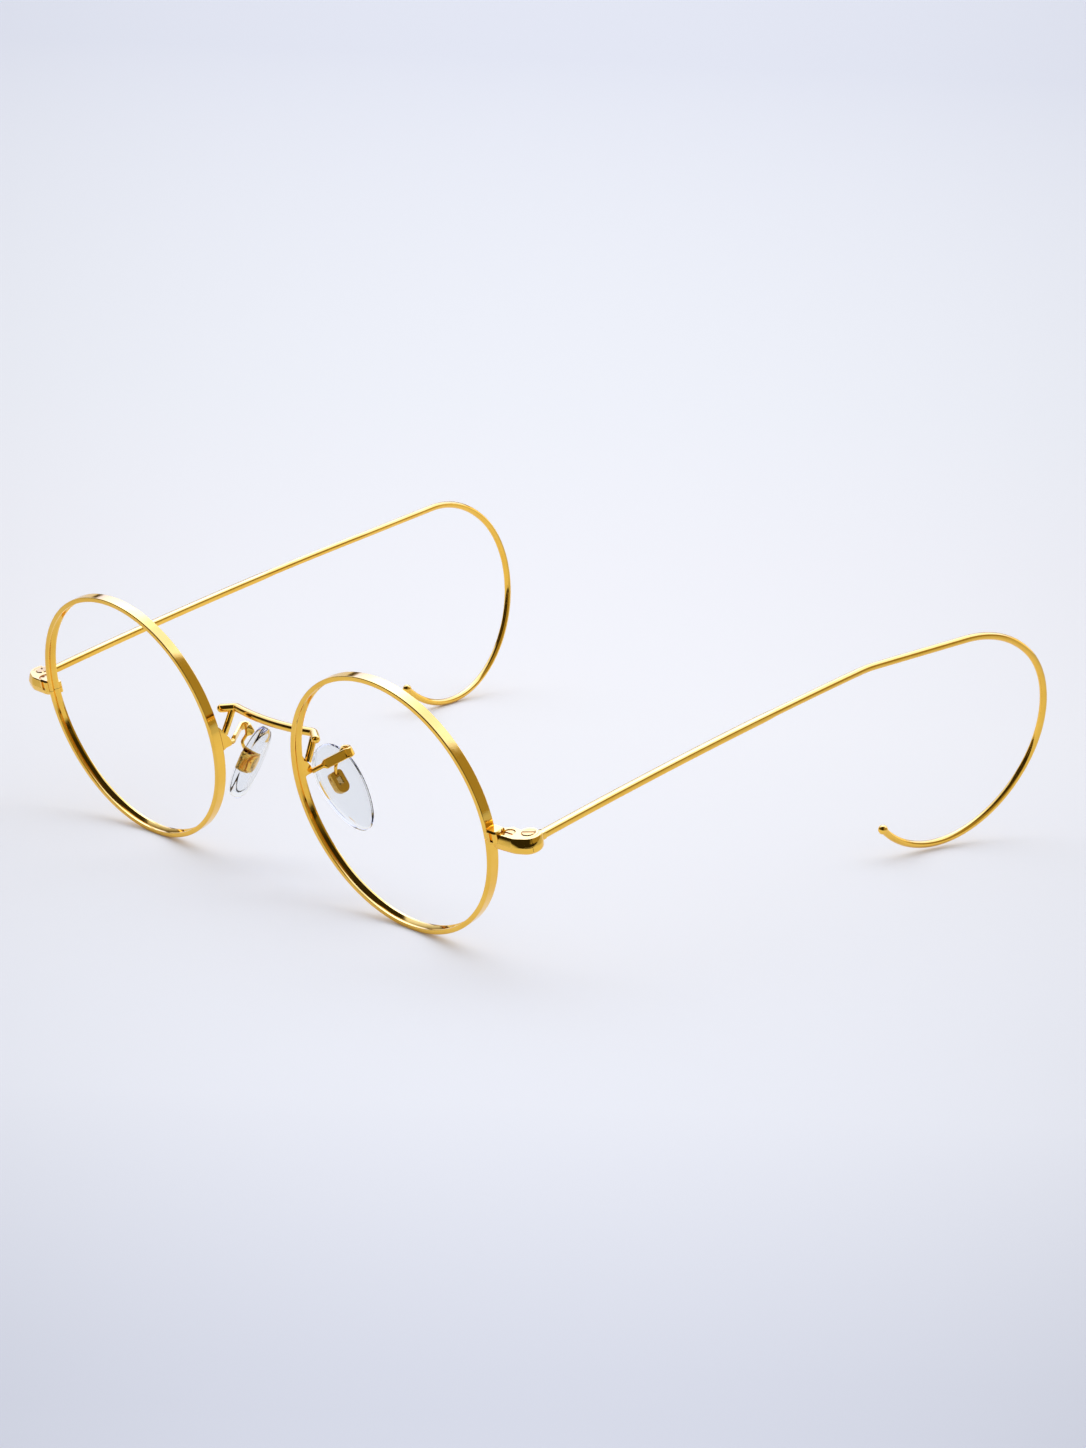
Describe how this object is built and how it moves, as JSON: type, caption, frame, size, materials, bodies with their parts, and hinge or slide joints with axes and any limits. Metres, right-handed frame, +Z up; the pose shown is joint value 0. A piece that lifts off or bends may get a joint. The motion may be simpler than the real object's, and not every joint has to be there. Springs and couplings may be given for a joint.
{
  "type": "eyeglass frame",
  "caption": "Round metal eyeglass frame with a wire bridge, clear rocking nose pads and hinged wire temples that curl behind the ears.",
  "frame": {"origin": "middle of the frame's own box on the surface that it stands on", "axes": "+X to the wearer's left, +Y from the rims back to the ears, +Z up from the table; the frame stands open on its rims and the lower turns of its curls, so the plane of the rims leans forward at its top"},
  "size_m": [0.1418, 0.1385, 0.0452],
  "materials": {
    "gold": "polished gold plate",
    "deep_gold": "duller gold plate of the screws, pins and pad boxes",
    "clear": "clear soft plastic, slightly warm"
  },
  "bodies": {
    "front": {"rim_left": "gold", "rim_right": "gold", "joint_upper_left": "gold", "joint_upper_right": "gold", "joint_lower_left": "gold", "joint_lower_right": "gold", "closing_screw_left": "deep_gold", "closing_screw_right": "deep_gold", "hinge_screw_left": "deep_gold", "hinge_screw_right": "deep_gold", "bridge": "gold", "bridge_post_left": "gold", "bridge_post_right": "gold", "bracket_left": "gold", "bracket_right": "gold", "pad_arm_left": "gold", "pad_arm_right": "gold"},
    "temple_left": {"temple_bar_left": "gold", "temple_wire_left": "gold", "temple_tip_left": "gold"},
    "temple_right": {"temple_bar_right": "gold", "temple_wire_right": "gold", "temple_tip_right": "gold"},
    "pad_left": {"pad_box_left": "deep_gold", "pad_pin_left": "deep_gold", "pad_insert_left": "gold", "nose_pad_left": "clear"},
    "pad_right": {"pad_box_right": "deep_gold", "pad_pin_right": "deep_gold", "pad_insert_right": "gold", "nose_pad_right": "clear"}
  },
  "joints": [
    {"name": "temple_fold_left", "type": "hinge", "parent": "front", "child": "temple_left", "pos_m": [0.0629, -0.06002, 0.0234], "axis": [0, -0.2597, 0.9657], "range_deg": [0, 80]},
    {"name": "temple_fold_right", "type": "hinge", "parent": "front", "child": "temple_right", "pos_m": [-0.0621, -0.06002, 0.0234], "axis": [0, 0.2597, -0.9657], "range_deg": [0, 75]},
    {"name": "pad_rock_left", "type": "hinge", "parent": "front", "child": "pad_left", "pos_m": [0.01267, -0.0555, 0.02104], "axis": [0.0175, 0.9656, 0.2596], "range_deg": [-4, 4]},
    {"name": "pad_rock_right", "type": "hinge", "parent": "front", "child": "pad_right", "pos_m": [-0.0112, -0.05465, 0.01941], "axis": [-0.309, 0.9184, 0.247], "range_deg": [-4, 4]}
  ]
}
